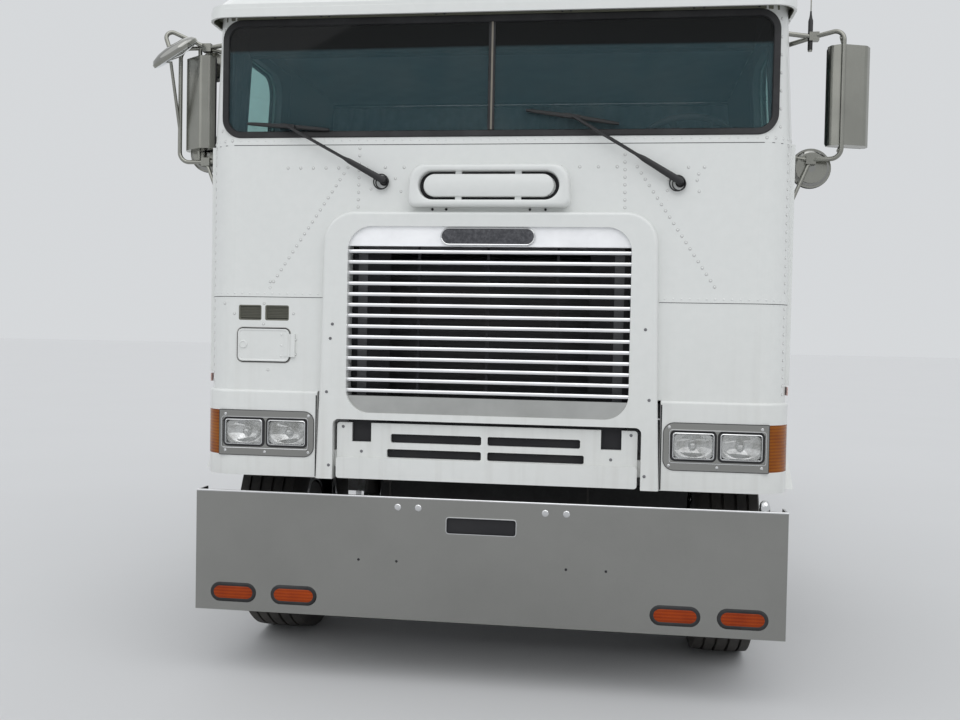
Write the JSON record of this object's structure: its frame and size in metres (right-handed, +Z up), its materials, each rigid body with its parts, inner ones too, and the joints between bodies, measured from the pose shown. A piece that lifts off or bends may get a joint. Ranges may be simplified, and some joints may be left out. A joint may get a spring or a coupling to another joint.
{
  "type": "cab-over truck tractor unit",
  "caption": "Flat-fronted cab-over sleeper tractor with a barred grille, square bumper, opening doors, tilting cab, steered front wheels, tandem drive axles and a fifth wheel.",
  "frame": {"origin": "on the ground, at the middle of the overall length and width", "axes": "+Z up, -Y forwards, +X towards the driver's side"},
  "size_m": [3.1, 6.9, 3.4],
  "materials": {
    "cab_paint": "gloss white paint on riveted sheet, a little chalky",
    "frame_black": "satin black paint, dusty",
    "tread_plate": "bright tread plate",
    "amber_lens": "moulded amber lens",
    "red_lens": "moulded red lens",
    "floor_grey": "matt grey underside",
    "dash_plastic": "dark grained plastic",
    "engine_grey": "painted castings",
    "chrome": "bright plating with light road film",
    "fifth_steel": "greased steel",
    "polished_aluminium": "polished",
    "lamp_glass": "clear fluted lens",
    "stainless": "bright stainless steel",
    "flap_rubber": "black sheet rubber",
    "radiator_black": "matt black fins",
    "seat_cloth": "woven seat cloth",
    "rod_chrome": "hard chrome",
    "tyre": "black tread rubber, dusty",
    "wheel_white": "white steel disc wheels",
    "glass": "lightly tinted glass",
    "seal_rubber": "black rubber",
    "trim_black": "satin black"
  },
  "bodies": {
    "chassis": {"frame_rails": "frame_black", "front_bumper": "chrome", "bumper_lamps": "amber_lens", "front_axle": "frame_black", "drive_axles": "frame_black", "tandem_suspension": "frame_black", "engine_block": "engine_grey", "radiator": "radiator_black", "fuel_tanks": "polished_aluminium", "battery_boxes": "tread_plate", "air_tanks": "frame_black", "deck_plate": "tread_plate", "exhaust_stack": "chrome", "mud_flaps": "flap_rubber", "tail_lamps": "red_lens", "fifth_wheel_base": "frame_black"},
    "cab": {"cab_front": "cab_paint", "cab_sides": "cab_paint", "cab_back": "cab_paint", "cab_floor": "floor_grey", "cab_roof": "cab_paint", "windshield_seal": "seal_rubber", "windshield_glass": "glass", "grille_surround": "cab_paint", "grille": "polished_aluminium", "lower_panel": "cab_paint", "corner_panels": "cab_paint", "headlamps": "lamp_glass", "turn_lamps": "amber_lens", "cab_brightwork": "chrome", "vent_scoop": "cab_paint", "wipers": "trim_black", "seats_and_bunk": "seat_cloth", "dashboard": "dash_plastic"},
    "driver_door": {"door_left": "cab_paint", "door_glass_left": "glass", "mirrors_left": "stainless"},
    "passenger_door": {"door_right": "cab_paint", "door_glass_right": "glass", "mirrors_right": "stainless"},
    "access_flap": {"access_door": "cab_paint"},
    "steering_wheel": {"steering_wheel": "dash_plastic"},
    "left_knuckle": {"knuckle_left": "frame_black"},
    "right_knuckle": {"knuckle_right": "frame_black"},
    "tie_rod": {"tie_rod": "frame_black"},
    "left_front_wheel": {"tyre_front_left": "tyre", "wheel_front_left": "chrome"},
    "right_front_wheel": {"tyre_front_right": "tyre", "wheel_front_right": "chrome"},
    "left_mid_wheels": {"tyres_mid_left": "tyre", "wheels_mid_left": "wheel_white"},
    "right_mid_wheels": {"tyres_mid_right": "tyre", "wheels_mid_right": "wheel_white"},
    "left_rear_wheels": {"tyres_rear_left": "tyre", "wheels_rear_left": "wheel_white"},
    "right_rear_wheels": {"tyres_rear_right": "tyre", "wheels_rear_right": "wheel_white"},
    "tilt_barrel": {"tilt_barrel": "frame_black"},
    "tilt_rod": {"tilt_rod": "rod_chrome"},
    "fifth_wheel": {"fifth_wheel_plate": "fifth_steel"}
  },
  "joints": [
    {"name": "cab_tilt", "type": "hinge", "parent": "chassis", "child": "cab", "pos_m": [0, -3.3, 0.87], "axis": [1, 0, 0], "range_deg": [0, 55]},
    {"name": "driver_door", "type": "hinge", "parent": "cab", "child": "driver_door", "pos_m": [1.233, -3.231, 1.7], "axis": [0, 0, -1], "range_deg": [0, 70]},
    {"name": "passenger_door", "type": "hinge", "parent": "cab", "child": "passenger_door", "pos_m": [-1.233, -3.231, 1.7], "axis": [0, 0, 1], "range_deg": [0, 70]},
    {"name": "access_flap", "type": "hinge", "parent": "cab", "child": "access_flap", "pos_m": [-0.842, -3.383, 1.398], "axis": [0, 0, 1], "range_deg": [0, 100]},
    {"name": "steering_column", "type": "hinge", "parent": "cab", "child": "steering_wheel", "pos_m": [0.83, -2.83, 2.29], "axis": [0, 0.5736, 0.8192], "range_deg": [-490, 490]},
    {"name": "left_steer", "type": "hinge", "parent": "chassis", "child": "left_knuckle", "pos_m": [0.876, -2.65, 0.52], "axis": [0, 0, 1], "range_deg": [-35, 35]},
    {"name": "right_steer", "type": "hinge", "parent": "chassis", "child": "right_knuckle", "pos_m": [-0.876, -2.65, 0.52], "axis": [0, 0, 1], "range_deg": [-35, 35]},
    {"name": "tie_rod_slide", "type": "slide", "parent": "chassis", "child": "tie_rod", "axis": [-1, 0, 0], "range_m": [-0.117, 0.117]},
    {"name": "left_front_roll", "type": "hinge", "parent": "left_knuckle", "child": "left_front_wheel", "pos_m": [1.195, -2.65, 0.52], "axis": [1, 0, 0], "continuous": true},
    {"name": "right_front_roll", "type": "hinge", "parent": "right_knuckle", "child": "right_front_wheel", "pos_m": [-1.195, -2.65, 0.52], "axis": [1, 0, 0], "continuous": true},
    {"name": "left_mid_roll", "type": "hinge", "parent": "chassis", "child": "left_mid_wheels", "pos_m": [0.911, 1.39, 0.52], "axis": [1, 0, 0], "continuous": true},
    {"name": "right_mid_roll", "type": "hinge", "parent": "chassis", "child": "right_mid_wheels", "pos_m": [-0.911, 1.39, 0.52], "axis": [1, 0, 0], "continuous": true},
    {"name": "left_rear_roll", "type": "hinge", "parent": "chassis", "child": "left_rear_wheels", "pos_m": [0.911, 2.71, 0.52], "axis": [1, 0, 0], "continuous": true},
    {"name": "right_rear_roll", "type": "hinge", "parent": "chassis", "child": "right_rear_wheels", "pos_m": [-0.911, 2.71, 0.52], "axis": [1, 0, 0], "continuous": true},
    {"name": "tilt_barrel_swing", "type": "hinge", "parent": "chassis", "child": "tilt_barrel", "pos_m": [-0.53, -3.17, 0.7], "axis": [1, 0, 0], "range_deg": [0, 40.15]},
    {"name": "tilt_rod_slide", "type": "slide", "parent": "tilt_barrel", "child": "tilt_rod", "axis": [0, 0.501, 0.8654], "range_m": [0, 0.1482]},
    {"name": "fifth_wheel_tilt", "type": "hinge", "parent": "chassis", "child": "fifth_wheel", "pos_m": [0, 1.85, 1.11], "axis": [1, 0, 0], "range_deg": [-12, 12]}
  ],
  "couplings": [
    {"joint": "right_steer", "follows": "left_steer", "ratio": 1},
    {"joint": "tie_rod_slide", "follows": "left_steer", "m_per_rad": 0.19},
    {"joint": "steering_column", "follows": "left_steer", "ratio": 14},
    {"joint": "tilt_barrel_swing", "follows": "cab_tilt", "ratio": 0.7245},
    {"joint": "tilt_rod_slide", "follows": "cab_tilt", "m_per_rad": 0.1539}
  ]
}
